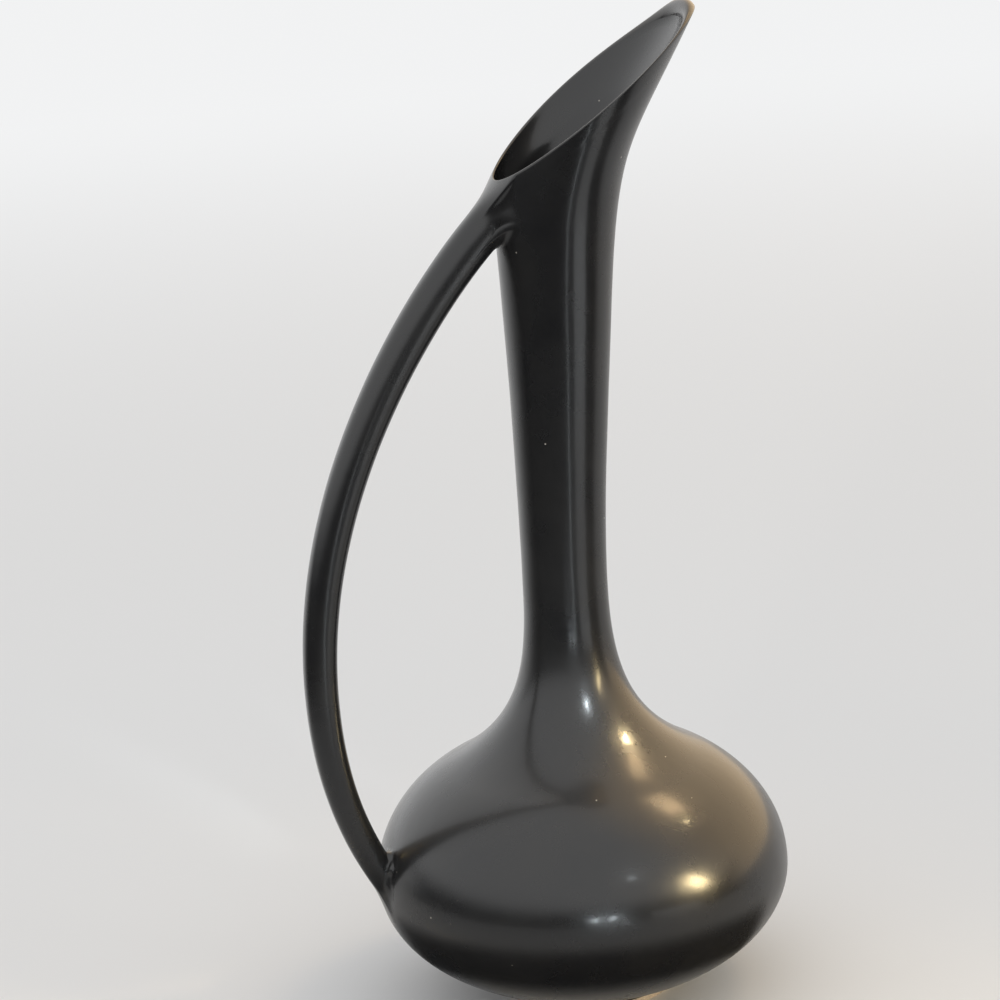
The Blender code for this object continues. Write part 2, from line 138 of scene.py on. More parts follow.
foot_top = SEAT - FOOT_GAP
foot_edge = [(FOOT_RADIUS - FOOT_ROUNDING - FOOT_TUCK, 0.0)]
for step in range(1, ROUNDING_STEPS + 1):
    turn = math.pi / 2 * step / ROUNDING_STEPS
    foot_edge.append((FOOT_RADIUS - FOOT_TUCK - FOOT_ROUNDING * (1 - math.sin(turn)),
                      FOOT_ROUNDING * (1 - math.cos(turn))))
foot_edge.append((FOOT_RADIUS - FOOT_TUCK, foot_top))
foot_rings = [ring_round(foot_edge[0][0] * share, 0.0) for share in BASE_SHARES]
foot_rings += [ring_round(radius, height) for radius, height in foot_edge]
foot_rings.append(ring_round(FOOT_RADIUS / 2, foot_top))
foot = fired_piece("bare_foot", foot_rings, (0, 0, 0), (0, 0, foot_top), bare_clay())
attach(foot, "root")
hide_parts("foot", "foot_slip")


# The body is one fired skin of earthenware: the round bulb, the long neck and the spout are
# made as sections, joined with slip and sponged smooth, so no seam shows. The lip is rounded
# with a wet finger, and the glaze runs over it and down inside.

BULB_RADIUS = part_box("bulb")[1].x
BULB_UNDER = 0.0502
CROWN_RISE = 0.0522
CROWN_RADIUS = 0.0591
CROWN_SLOPE = math.radians(28.0)
WIDEST_PULL = 0.0260
CROWN_PULL = 0.0180
COLLAR_RISE = 0.0320
STEM_RISE = 0.0540
STEM_RADIUS = 0.0191
SHOULDER_PULL = 0.0420
STEM_PULL_BELOW = 0.0400
STEM_PULL_ABOVE = 0.0380
COLUMN_RISE = 0.1200
COLUMN_RADIUS = 0.0241
COLUMN_FLARE = 0.0585
COLUMN_PULL = 0.0250
NECK_LEAN = 0.0050
LEAN_START = 0.0358
LEAN_RISE = 0.1800
SPOUT_RISE = 0.0568
MOUTH_BACK = 0.0208
MOUTH_LENGTH = 0.1173
MOUTH_SLANT = math.radians(36.2)
MOUTH_WIDTH = 0.0740
MOUTH_TAPER = 0.15
MOUTH_BOW = 0.0012
FRONT_PULL = 0.0750
TIP_PULL = 0.0640
TIP_LEAN = math.radians(30.0)
WALL = 0.0045
FLOOR = 0.0060
LIP = 0.0018
LIP_TIP = 0.0085
LIP_CROWN = 0.0012
LIP_TIP_CROWN = 0.0046
LIP_GATHER = 9
LIP_THINS = 0.80
LIP_EASE = 0.4
LIP_SKEW = 0.35
TIP_THICKENS = 0.30
TIP_THICK = 0.96
WIDEST = SEAT + BULB_UNDER
CROWN = WIDEST + CROWN_RISE
COLLAR = CROWN + COLLAR_RISE
STEM = COLLAR + STEM_RISE
SPOUT_START = STEM + COLUMN_RISE
MOUTH_LOW = SPOUT_START + SPOUT_RISE
BULB_RINGS = 34
NECK_RINGS = 46
SPOUT_RINGS = 64
LIP_RINGS = 21
SPOUT_INNER_RINGS = 40
NECK_INNER_RINGS = 20
BULB_INNER_RINGS = 14
FLOOR_SEARCH_STEPS = 400
UNDER_START = 0.02
GLAZE_EDGE = 0.0030
DRIP_ROUNDING = 0.0006
DRIP_SOFTENING = 0.0001
HAND_UNEVENNESS = 0.00022
HAND_SCALE = 26.0
FINER_SCALE = 2.7
FINER_SHARE = 0.25
JOIN_CALM = 0.026
JOIN_FADE = 0.020
LIP_CALM_RINGS = 6


def pulled(start, start_pull, end_pull, end, t):
    """Points of a curve between two ends, drawn towards two others."""
    start, start_pull, end_pull, end = (np.asarray(p, float) for p in (start, start_pull, end_pull, end))
    t = np.asarray(t, float)[..., None]
    s = 1 - t
    return start * s ** 3 + start_pull * 3 * s * s * t + end_pull * 3 * s * t * t + end * t ** 3


def under_line(t):
    depth = BULB_UNDER / math.sqrt(1 - (FOOT_RADIUS / BULB_RADIUS) ** 2)
    angle = (np.asarray(t, float) - 1) * math.asin(BULB_UNDER / depth)
    return np.stack([BULB_RADIUS * np.cos(angle), WIDEST + depth * np.sin(angle)], -1)


def crown_line(t):
    slope = np.array([-math.cos(CROWN_SLOPE), math.sin(CROWN_SLOPE)])
    widest = np.array([BULB_RADIUS, WIDEST])
    crown = np.array([CROWN_RADIUS, CROWN])
    return pulled(widest, widest + (0, WIDEST_PULL), crown - slope * CROWN_PULL, crown, t)


def shoulder_line(t):
    slope = np.array([-math.cos(CROWN_SLOPE), math.sin(CROWN_SLOPE)])
    crown = np.array([CROWN_RADIUS, CROWN])
    stem = np.array([STEM_RADIUS, STEM])
    return pulled(crown, crown + slope * SHOULDER_PULL, stem - (0, STEM_PULL_BELOW), stem, t)


def column_line(t):
    stem = np.array([STEM_RADIUS, STEM])
    top = np.array([COLUMN_RADIUS, SPOUT_START])
    way = np.array([COLUMN_FLARE, 1])
    return pulled(stem, stem + (0, STEM_PULL_ABOVE), top - way * COLUMN_PULL, top, t)


def inward(line, t, depth):
    """The outline moved square to itself into the clay."""
    step = 0.0001
    along = line(t + step) - line(t - step)
    along /= np.linalg.norm(along, axis=-1, keepdims=True)
    return line(t) - np.stack([along[..., 1], -along[..., 0]], -1) * depth


def lean(height):
    """How far the neck's middle has moved towards the spout at a height."""
    rise = np.clip((np.asarray(height, float) - COLLAR - LEAN_START) / LEAN_RISE, 0, 1)
    return NECK_LEAN * rise * rise * (3 - 2 * rise)


SLOPE_STEP = 0.0005
LEAN_SLOPE = float(lean(SPOUT_START) - lean(SPOUT_START - SLOPE_STEP)) / SLOPE_STEP


def back_line(t):
    start = np.array([lean(SPOUT_START) - COLUMN_RADIUS, SPOUT_START])
    end = np.array([-MOUTH_BACK, MOUTH_LOW])
    pull = SPOUT_RISE / 3
    way = np.array([LEAN_SLOPE - COLUMN_FLARE, 1])
    return pulled(start, start + way * pull, end - (0, pull), end, t)


def front_line(t):
    start = np.array([lean(SPOUT_START) + COLUMN_RADIUS, SPOUT_START])
    slant = np.array([math.cos(MOUTH_SLANT), math.sin(MOUTH_SLANT)])
    end = np.array([-MOUTH_BACK, MOUTH_LOW]) + slant * MOUTH_LENGTH
    way = np.array([LEAN_SLOPE + COLUMN_FLARE, 1])
    tip_way = np.array([math.sin(TIP_LEAN), math.cos(TIP_LEAN)])
    return pulled(start, start + way * FRONT_PULL, end - tip_way * TIP_PULL, end, t)


def slice_half_width(t):
    steady = COLUMN_FLARE * (SPOUT_RISE + 3 * FRONT_PULL) / 2
    return COLUMN_RADIUS + steady * t + (MOUTH_WIDTH / 2 - COLUMN_RADIUS - steady) * t ** 3


def slice_ring(t, inset=0.0):
    """One slice of the spout: round at the neck, drawn out to a leaf shape at the mouth."""
    angle = np.arange(AROUND) * 2 * math.pi / AROUND
    along = front_line(t) - back_line(t)
    along /= np.linalg.norm(along)
    back = back_line(t) + along * inset
    front = front_line(t) - along * inset
    up = np.array([-along[1], along[0]])
    bow = MOUTH_BOW * t * t * np.sin(angle) ** 2
    place = (back + front) / 2 + np.outer(np.cos(angle), (front - back) / 2) + np.outer(bow, up)
    side = (slice_half_width(t) - inset) * np.sin(angle) * (1 - MOUTH_TAPER * t * np.cos(angle) ** 2)
    return np.stack([place[:, 0], side, place[:, 1]], -1)


def rounds(line, ts, depth=0.0):
    """Rings of the turned part of the body, at its outside or a depth inside it."""
    ts = np.asarray(ts, float)
    spots = inward(line, ts, depth) if depth else line(ts)
    return [ring_round(radius, height, float(lean(height))) for radius, height in spots]


skirt = [ring_round(FOOT_RADIUS - DRIP_ROUNDING, GLAZE_EDGE),
         ring_round(FOOT_RADIUS - DRIP_SOFTENING, GLAZE_EDGE + DRIP_SOFTENING),
         ring_round(FOOT_RADIUS, GLAZE_EDGE + DRIP_ROUNDING),
         ring_round(FOOT_RADIUS, SEAT)]
outside = skirt + rounds(under_line, np.linspace(UNDER_START, 1, BULB_RINGS))
outside += rounds(crown_line, np.linspace(0, 1, BULB_RINGS)[1:])
outside += rounds(shoulder_line, np.linspace(0, 1, NECK_RINGS)[1:])
outside += rounds(column_line, np.linspace(0, 1, NECK_RINGS)[1:])
outside += [slice_ring(t) for t in np.linspace(0, 1, SPOUT_RINGS)[1:]]


def unit(v):
    return v / np.linalg.norm(v, axis=-1, keepdims=True)


towards_tip = (1 + np.cos(np.arange(AROUND) * 2 * math.pi / AROUND)) / 2
lip_up = np.array([-math.sin(MOUTH_SLANT), 0, math.cos(MOUTH_SLANT)])


def inner_slice(t):
    """A slice of the spout's inside, where the wall thins to the lip and is thick at the tip."""
    share = max(0.0, (t - LIP_THINS) / (1 - LIP_THINS))
    wall = WALL + (LIP - WALL) * share * (1 + LIP_EASE - LIP_EASE * (1 - share) ** 3 - LIP_EASE * share)
    ring = slice_ring(t, wall)
    thick = min(max((t - TIP_THICKENS) / (TIP_THICK - TIP_THICKENS), 0.0), 1.0)
    thick = (LIP_TIP - LIP) * thick * thick * (3 - 2 * thick) * towards_tip ** LIP_GATHER
    along = front_line(t) - back_line(t)
    along /= np.linalg.norm(along)
    return ring - np.outer(thick, [along[0], 0, along[1]])


CURVE_RISE = 0.75
BELOW_MOUTH = 0.99
lip_height = LIP_CROWN + (LIP_TIP_CROWN - LIP_CROWN) * towards_tip ** LIP_GATHER
lip_pull = (lip_height / CURVE_RISE)[:, None]
tip_share = (towards_tip ** LIP_GATHER)[:, None]
lip_outer, lip_inner = outside[-1], inner_slice(1.0)
outer_way = unit(unit(lip_outer - slice_ring(BELOW_MOUTH)) * (1 - tip_share) + lip_up * tip_share)
inner_way = unit(unit(lip_inner - inner_slice(BELOW_MOUTH)) * (1 - tip_share) + lip_up * tip_share)
outer_pull = lip_outer + outer_way * lip_pull * (1 + LIP_SKEW)
inner_pull = lip_inner + inner_way * lip_pull * (1 - LIP_SKEW)
lip = [pulled(lip_outer, outer_pull, inner_pull, lip_inner, share)
       for share in np.linspace(0, 1, LIP_RINGS)[1:-1]]
inside = [inner_slice(t) for t in np.linspace(1, 0, SPOUT_INNER_RINGS)]
inside += rounds(column_line, np.linspace(1, 0, NECK_INNER_RINGS)[1:], WALL)
inside += rounds(shoulder_line, np.linspace(1, 0, NECK_INNER_RINGS)[1:], WALL)
inside += rounds(crown_line, np.linspace(1, 0, BULB_INNER_RINGS)[1:], WALL)
inner_ts = np.linspace(1, 0, FLOOR_SEARCH_STEPS)
inner_heights = inward(under_line, inner_ts, WALL)[:, 1]
floor_t = float(inner_ts[np.argmax(inner_heights < SEAT + FLOOR)])
inside += rounds(under_line, np.linspace(1, floor_t, BULB_INNER_RINGS)[1:], WALL)
JOINS = (Vector((-BULB_RADIUS, 0, WIDEST)), Vector((-MOUTH_BACK, 0, MOUTH_LOW)))


def unevenness(points, depth):
    """How far each point is pressed in, as a sponge and a hand leave it, up to a depth.

    The press dies out near the handle's two joins, where the surfaces have to meet."""
    for p in points:
        spot = Vector(p) * HAND_SCALE
        press = 0.5 + 0.5 * noise.noise(spot) + FINER_SHARE * noise.noise(spot * FINER_SCALE)
        away = min((Vector(p) - join).length for join in JOINS)
        share = min(max((away - JOIN_CALM) / JOIN_FADE, 0.0), 1.0)
        yield min(max(press, 0.0), 1.0) * depth * share * share * (3 - 2 * share)


def pressed_in(rings, depth):
    """Each ring drawn a little towards its own middle by that unevenness."""
    made = []
    for ring in rings:
        middle = ring.mean(0)
        out = ring - middle
        length = np.linalg.norm(out, axis=1, keepdims=True)
        press = np.array(list(unevenness(ring, depth)))[:, None]
        made.append(ring - out / length * press)
    return made


outside_pressed = skirt + pressed_in(outside[len(skirt):-LIP_CALM_RINGS], HAND_UNEVENNESS)
outside_pressed += outside[-LIP_CALM_RINGS:]
body_rings = outside_pressed + lip + inside


DEEP_BLACK = (0.0062, 0.0066, 0.0076, 1)
WARM_BLACK = (0.0120, 0.0115, 0.0112, 1)
THIN_BROWN = (0.050, 0.040, 0.032, 1)
PINHOLE_CLAY = (0.42, 0.39, 0.34, 1)
PINHOLE_SIZE = 0.110
PINHOLE_SHARE = 0.012


def black_glaze():
    """Charcoal-black satin glaze: fine grain, a few pinholes, brown where it thins on an edge."""
    finish = bpy.data.materials.new("black_glaze")
    finish.use_nodes = True
    tree, add = node_maker(finish)
    shader = tree.nodes["Principled BSDF"]
    shader.inputs["IOR"].default_value = 1.60
    shader.inputs["Coat Weight"].default_value = 0.45
    shader.inputs["Coat Roughness"].default_value = 0.13
    place = add("ShaderNodeTexCoord").outputs["Object"]
    cloud = add("ShaderNodeTexNoise", {"Vector": place, "Scale": 24.0, "Detail": 5.0, "Roughness": 0.6})
    grain = add("ShaderNodeTexNoise", {"Vector": place, "Scale": 2200.0, "Detail": 2.0})
    tone = two_tones(add, cloud.outputs["Fac"], (0.30, DEEP_BLACK), (0.72, WARM_BLACK))
    thin = add("ShaderNodeAttribute", attribute_name="thin_glaze")
    worn = add("ShaderNodeMath", {0: thin.outputs["Fac"], 1: cloud.outputs["Fac"]}, operation="MULTIPLY")
    browned = add("ShaderNodeMix", {"Factor": worn.outputs["Value"], "A": tone, "B": THIN_BROWN},
                  data_type="RGBA")
    specks = add("ShaderNodeTexVoronoi", {"Vector": place, "Scale": 300.0, "Randomness": 1.0})
    near = add("ShaderNodeMath", {0: specks.outputs["Distance"], 1: PINHOLE_SIZE}, operation="LESS_THAN")
    rare = add("ShaderNodeSeparateColor", {"Color": specks.outputs["Color"]})
    chosen = add("ShaderNodeMath", {0: rare.outputs["Red"], 1: PINHOLE_SHARE}, operation="LESS_THAN")
    hole = add("ShaderNodeMath", {0: near.outputs["Value"], 1: chosen.outputs["Value"]},
               operation="MULTIPLY")
    coloured = add("ShaderNodeMix", {"Factor": hole.outputs["Value"], "A": browned.outputs["Result"],
                                     "B": PINHOLE_CLAY}, data_type="RGBA")
    rough = add("ShaderNodeMapRange", {"Value": cloud.outputs["Fac"], "From Min": 0.3, "From Max": 0.7,
                                       "To Min": 0.24, "To Max": 0.31})
    ripple = add("ShaderNodeTexNoise", {"Vector": place, "Scale": 85.0, "Detail": 1.0})
    waved = add("ShaderNodeBump", {"Height": ripple.outputs["Fac"], "Strength": 1.0, "Distance": 0.00012})
    bump = add("ShaderNodeBump", {"Height": grain.outputs["Fac"], "Strength": 0.10, "Distance": 0.0001,
                                  "Normal": waved.outputs["Normal"]})
    tree.links.new(coloured.outputs["Result"], shader.inputs["Base Color"])
    tree.links.new(rough.outputs["Result"], shader.inputs["Roughness"])
    tree.links.new(bump.outputs["Normal"], shader.inputs["Normal"])
    return finish


glaze = black_glaze()
body = fired_piece("glazed_body", body_rings, (0, 0, GLAZE_EDGE), (0, 0, SEAT + FLOOR), glaze)
thin_glaze = np.zeros(len(body.data.vertices), np.float32)
lip_start = len(outside_pressed)
for row, ring in enumerate(lip):
    share = math.sin(math.pi * (row + 1) / (len(lip) + 1))
    at = (lip_start + row) * AROUND
    thin_glaze[at:at + AROUND] = share * (0.5 + 0.5 * towards_tip)
body.data.attributes.new("thin_glaze", "FLOAT", "POINT").data.foreach_set("value", thin_glaze)
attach(body, "root")
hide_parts("bulb", "neck", "spout", "shoulder_slip", "spout_slip")


# The handle is one solid roll of clay, bowed by hand and thicker towards the top. Its ends
# are pressed on the bulb and under the lip, and slip is worked into the corners, wide at the
# upper one and tight at the lower one, on whose sheltered side the glaze has pooled in beads.

HANDLE_BITE = 0.0118
HANDLE_DROP = 0.0080
HANDLE_LOW_LEAN = math.radians(56.1)
HANDLE_LOW_PULL = 0.0355
HANDLE_STANDOFF = 0.0211
HANDLE_BELLY_RISE = 0.0997
BELLY_PULL_BELOW = 0.0476
BELLY_PULL_ABOVE = 0.1080
HANDLE_TOP_DROP = 0.0138
HANDLE_TOP_LEAN = math.radians(38.3)
HANDLE_TOP_PULL = 0.0200
HANDLE_LOW_THICKNESS = 0.0128
HANDLE_TOP_THICKNESS = 0.0184
HANDLE_LOW_WIDTH = 0.0136
HANDLE_TOP_WIDTH = 0.0172
HANDLE_SQUARENESS = 2.3
HANDLE_BOTTOM = np.array([-(BULB_RADIUS - HANDLE_BITE), WIDEST - HANDLE_DROP])
HANDLE_BELLY = np.array([-(BULB_RADIUS + HANDLE_STANDOFF), WIDEST + HANDLE_BELLY_RISE])
HANDLE_TOP = np.array([-MOUTH_BACK, MOUTH_LOW - HANDLE_TOP_DROP])
BELLY = 0.5
RUN_ON = 0.30
HANDLE_AROUND = 72
LOW_SEARCH = (0.34, -0.06)
TOP_SEARCH = (0.70, 1.08)
LOW_SPREAD = 0.0048
LOW_SPREAD_UNDER = 0.0095
LOW_UNEVEN = 0.25
LOW_WAVES = (3, 5)
LOW_WAVE_TURN = 0.8
LOW_BEADS = 0.0020
TOP_SPREAD_UNDER = 0.0044
TOP_SPREAD_SIDE = 0.0115
TOP_RUN_SIDE = 0.0150
TOP_RUN_OUTER = 0.0260
LIP_MEETING = 5
LEAST_REACH = 0.0006
LIP_SHARE = 0.7
LIP_CARRY_START = 0.20
LIP_CARRY_FADE = 0.45
LIP_BACK_TRIM = 6
ON_LIP = 0.6
CORNER_PULL = 0.62
CORNER_RINGS = 22
SHAFT_RINGS = 150
SHAFT_SETTLED = 0.25
SKIM_RUN = 0.0012
SKIM_RUN_LESS = 0.0010
SKIM_DEPTH = 0.00004
BURIED_RUN = 0.0006
BURIED_RUN_LESS = 0.0005
BURIED_DEPTH = 0.0004
HIDDEN_DEPTH = 0.0012
HIDDEN_SHARES = (0.2, 0.45, 0.7, 0.85)
BEAD_SCALE = 290.0
SHELTER_START = 0.35
SHELTER_FADE = 0.5
LIFT = 0.001
HALVINGS = 28
SETTLING_TURNS = 5
SEARCH_STEPS = 121
SPOUT_RUN_ON = 1.3
TURNED_STEPS = 300
low_way = np.array([-math.cos(HANDLE_LOW_LEAN), math.sin(HANDLE_LOW_LEAN)])
top_way = np.array([math.cos(HANDLE_TOP_LEAN), math.sin(HANDLE_TOP_LEAN)])


def handle_path(u):
    """The handle's middle line: u is 0 at the bottom, 1 at the top, and runs on straight."""
    u = np.asarray(u, float)
    below = HANDLE_BELLY - (0, BELLY_PULL_BELOW)
    above = HANDLE_BELLY + (0, BELLY_PULL_ABOVE)
    lower = pulled(HANDLE_BOTTOM, HANDLE_BOTTOM + low_way * HANDLE_LOW_PULL, below, HANDLE_BELLY,
                   np.clip(u, 0, BELLY) / BELLY)
    upper = pulled(HANDLE_BELLY, above, HANDLE_TOP - top_way * HANDLE_TOP_PULL, HANDLE_TOP,
                   (np.clip(u, BELLY, 1) - BELLY) / (1 - BELLY))
    path = np.where(u[..., None] < BELLY, lower, upper)
    path = path + low_way * np.minimum(u, 0)[..., None] * RUN_ON
    return path + top_way * np.maximum(u - 1, 0)[..., None] * RUN_ON


def handle_skin(u, angle, lift=0.0):
    """Points on the handle's outside, or lifted off it; angle 0 faces away from the neck."""
    u, angle = np.broadcast_arrays(np.asarray(u, float), np.asarray(angle, float))
    step = 0.0005
    along = handle_path(u + step) - handle_path(u - step)
    along /= np.linalg.norm(along, axis=-1, keepdims=True)
    zero = np.zeros_like(u)
    outward = np.stack([-along[..., 1], zero, along[..., 0]], -1)
    middle = handle_path(u)
    share = (middle[..., 1] - HANDLE_BOTTOM[1]) / (HANDLE_TOP[1] - HANDLE_BOTTOM[1])
    thick = HANDLE_LOW_THICKNESS + (HANDLE_TOP_THICKNESS - HANDLE_LOW_THICKNESS) * share
    wide = HANDLE_LOW_WIDTH + (HANDLE_TOP_WIDTH - HANDLE_LOW_WIDTH) * share
    out, side = np.cos(angle), np.sin(angle)
    power = 2 / HANDLE_SQUARENESS
    out_part = np.sign(out) * np.abs(out) ** power * thick / 2
    side_part = np.sign(side) * np.abs(side) ** power * wide / 2
    out_face = np.sign(out) * np.abs(out) ** (2 - power) / thick
    side_face = np.sign(side) * np.abs(side) ** (2 - power) / wide
    place = np.stack([middle[..., 0], zero, middle[..., 1]], -1) + outward * out_part[..., None]
    place[..., 1] += side_part
    face = outward * out_face[..., None]
    face[..., 1] += side_face
    return place + face / np.linalg.norm(face, axis=-1, keepdims=True) * lift


turned_ts = np.linspace(0, 1, TURNED_STEPS)
turned_spots = np.concatenate([under_line(turned_ts), crown_line(turned_ts)[1:],
                               shoulder_line(turned_ts)[1:], column_line(turned_ts)[1:]])


def off_turned(p):
    """Level of points against the turned body: nought on its outside, more outside it."""
    radius = np.interp(p[..., 2], turned_spots[:, 1], turned_spots[:, 0])
    return np.hypot(p[..., 0] - lean(p[..., 2]), p[..., 1]) / radius - 1


def off_spout(p):
    """Level of points against the spout, whose slices are taken to run on past the mouth."""
    place = np.stack([p[..., 0], p[..., 2]], -1)
    low, high = np.zeros(p.shape[:-1]), np.full(p.shape[:-1], SPOUT_RUN_ON)
    for _ in range(HALVINGS):
        t = (low + high) / 2
        half = (front_line(t) - back_line(t)) / 2
        off = place - back_line(t)
        across = (off * half).sum(-1) / (half * half).sum(-1) - 1
        up = np.stack([-half[..., 1], half[..., 0]], -1) / np.linalg.norm(half, axis=-1, keepdims=True)
        above = (off * up).sum(-1) > MOUTH_BOW * t * t * (1 - across ** 2)
        low, high = np.where(above, t, low), np.where(above, high, t)
    side = p[..., 1] / (slice_half_width(t) * (1 - MOUTH_TAPER * t * across ** 2))
    return np.where(p[..., 2] < SPOUT_START, off_turned(p), np.sqrt(across ** 2 + side ** 2) - 1)


def slope_of(level, p):
    """The way in which a level rises fastest at each point."""
    step = 0.00002
    rise = [(level(p + axis) - level(p - axis)) / (2 * step) for axis in np.eye(3) * step]
    return np.stack(rise, -1)


def settle(level, p, gap):
    """Points moved square to the body until they stand a gap off it."""
    for _ in range(SETTLING_TURNS):
        slope = slope_of(level, p)
        size = np.linalg.norm(slope, axis=-1)
        p = p + slope * ((gap - level(p) / size) / size)[..., None]
    return p


def meeting(level, angles, search):
    """Where each line along the handle first meets the body."""
    us = np.linspace(*search, SEARCH_STEPS)
    hits = level(handle_skin(us[:, None], angles[None, :])) < 0
    first = np.maximum(hits.argmax(0), 1)
    clear, near = us[first - 1], us[first]
    for _ in range(HALVINGS):
        middle = (clear + near) / 2
        touching = level(handle_skin(middle, angles)) < 0
        near, clear = np.where(touching, middle, near), np.where(touching, clear, middle)
    return (clear + near) / 2


handle_angles = np.arange(HANDLE_AROUND) * 2 * math.pi / HANDLE_AROUND


def worked_corner(level, search, way, run, reach, onto_lip, beads):
    """Rings from inside the clay wall, out over the smoothed corner and up to the handle's skin.

    run and reach are how far the slip goes along the handle and over the body. onto_lip gives
    the share of each point that is carried up to the lip, with the lip's points and its ways.
    beads is how high the glaze stands where it has pooled, which it hasn't on the outer side."""
    corner_u = meeting(level, handle_angles, search)
    corner = handle_skin(corner_u, handle_angles)
    step = 0.001
    pace = np.linalg.norm(handle_path(corner_u + step) - handle_path(corner_u - step), axis=-1) / (2 * step)
    end_u = corner_u + way * run / pace
    body_way = unit(slope_of(level, corner))
    face = handle_skin(corner_u, handle_angles, LIFT) - corner
    spread_way = unit(face - body_way * (face * body_way).sum(-1, keepdims=True))
    on_handle = handle_skin(end_u, handle_angles)
    handle_way = unit(handle_skin(end_u - way * step, handle_angles) - on_handle)
    share, lip_spot, lip_way, lip_face = onto_lip(corner)
    on_body = settle(level, corner + spread_way * reach[:, None], 0.0) * (1 - share) + lip_spot * share
    top_share = np.clip((share - ON_LIP) / (1 - ON_LIP), 0, 1)
    on_body = settle(level, on_body, 0.0) * (1 - top_share) + on_body * top_share
    body_face = unit(slope_of(level, on_body) * (1 - top_share) + lip_face * top_share)
    back_way = unit(corner - on_body) + lip_way * top_share
    back_way = unit(back_way - body_face * (back_way * body_face).sum(-1, keepdims=True))
    over_body = np.linalg.norm(on_body - corner, axis=1, keepdims=True)
    up_handle = np.linalg.norm(on_handle - corner, axis=1, keepdims=True)
    body_pull = on_body + back_way * over_body * CORNER_PULL
    handle_pull = on_handle + handle_way * up_handle * CORNER_PULL
    skim = on_body - back_way * (SKIM_RUN - SKIM_RUN_LESS * top_share) - body_face * SKIM_DEPTH
    buried = skim - back_way * (BURIED_RUN - BURIED_RUN_LESS * top_share) - body_face * BURIED_DEPTH
    bulge = unit(body_face + unit(handle_skin(end_u, handle_angles, LIFT) - on_handle))
    middle = settle(level, corner.mean(0)[None, :], -HIDDEN_DEPTH)[0]
    rings = [settle(level, buried * s + middle * (1 - s), -HIDDEN_DEPTH) for s in HIDDEN_SHARES]
    rings += [buried, skim]
    sheltered = np.clip((SHELTER_START - np.cos(handle_angles)) / SHELTER_FADE, 0, 1)
    for t in np.linspace(0, 1, CORNER_RINGS):
        ring = pulled(on_body, body_pull, handle_pull, on_handle, t)
        pooled = sheltered * [max(0.0, noise.noise(Vector(p) * BEAD_SCALE)) for p in ring]
        rings.append(ring + bulge * (beads * math.sin(math.pi * t) ** 2 * pooled)[:, None])
    return rings, end_u, middle


def no_lip(corner):
    """The lower corner lies far from the lip, so none of it is carried there."""
    return np.zeros((len(corner), 1)), corner, np.zeros_like(corner), np.zeros_like(corner)


def back_of_lip(corner):
    """How far each point of the upper corner is carried up to the lip, and where it meets it."""
    share = np.clip((np.cos(handle_angles) - LIP_CARRY_START) / LIP_CARRY_FADE, 0, 1)
    share = (share * share * (3 - 2 * share))[:, None]
    back = slice(AROUND // 4 + LIP_BACK_TRIM, 3 * AROUND // 4 - LIP_BACK_TRIM)
    here, before, after = (lip[LIP_MEETING + k] for k in (0, -1, 1))
    across = unit(before - after)
    along = unit(np.roll(here, -1, axis=0) - np.roll(here, 1, axis=0))
    face = np.cross(along, across)
    face *= np.sign((face * (here - lip_inner)).sum(-1, keepdims=True))
    order = np.argsort(here[back][:, 1])
    aside = corner[:, 1] + TOP_SPREAD_SIDE * np.sin(handle_angles)

    def at_side(values):
        rows = values[back][order]
        return np.stack([np.interp(aside, here[back][order, 1], rows[:, axis]) for axis in range(3)], -1)

    return share, at_side(here), unit(at_side(across)), unit(at_side(face))


turned_out = np.cos(handle_angles)
low_reach = LOW_SPREAD + (LOW_SPREAD_UNDER - LOW_SPREAD) * np.maximum(turned_out, 0) ** 2
waves = np.sin(LOW_WAVES[0] * handle_angles + LOW_WAVE_TURN) * np.sin(LOW_WAVES[1] * handle_angles)
low_reach *= 1 + LOW_UNEVEN * waves
low_rings, low_u, low_middle = worked_corner(off_turned, LOW_SEARCH, 1, low_reach, low_reach, no_lip,
                                             LOW_BEADS)
top_run = TOP_RUN_SIDE + (TOP_RUN_OUTER - TOP_RUN_SIDE) * np.maximum(turned_out, 0)
top_run += (TOP_SPREAD_UNDER - TOP_RUN_SIDE) * np.maximum(-turned_out, 0)
top_corner = handle_skin(meeting(off_spout, handle_angles, TOP_SEARCH), handle_angles)
room_to_lip = np.maximum(LEAST_REACH, (MOUTH_LOW - top_corner[:, 2]) * LIP_SHARE)
top_reach = TOP_SPREAD_SIDE + (TOP_SPREAD_UNDER - TOP_SPREAD_SIDE) * np.maximum(-turned_out, 0)
top_reach = np.minimum(top_reach, room_to_lip)
top_rings, top_u, top_middle = worked_corner(off_spout, TOP_SEARCH, -1, top_run, top_reach,
                                             back_of_lip, 0.0)
shaft_rings = []
for share in np.linspace(0, 1, SHAFT_RINGS)[1:-1]:
    mean_u = low_u.mean() + (top_u.mean() - low_u.mean()) * share
    low_pull = (low_u - low_u.mean()) * max(0.0, 1 - share / SHAFT_SETTLED) ** 2
    top_pull = (top_u - top_u.mean()) * max(0.0, 1 - (1 - share) / SHAFT_SETTLED) ** 2
    shaft_rings.append(handle_skin(mean_u + low_pull + top_pull, handle_angles))
shaft_rings = pressed_in(shaft_rings, HAND_UNEVENNESS / 2)

handle_rings = low_rings + shaft_rings + top_rings[::-1]
handle = fired_piece("glazed_handle", handle_rings, low_middle, top_middle, glaze)
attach(handle, "root")
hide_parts("handle", "lower_handle_slip", "upper_handle_slip")


# The stage is a plain pale floor in a plain pale room, with small gridded lamps in front and at
# the right. Black cards on and above the floor show only in the gloss, where they are painted dark
# reflections in the black glaze. A warm screen behind glows though it is no lamp and shows only in
# the gloss, as a painted tan reflection.

TURN = math.radians(17.0)
PALE = (0.885, 0.89, 0.895)


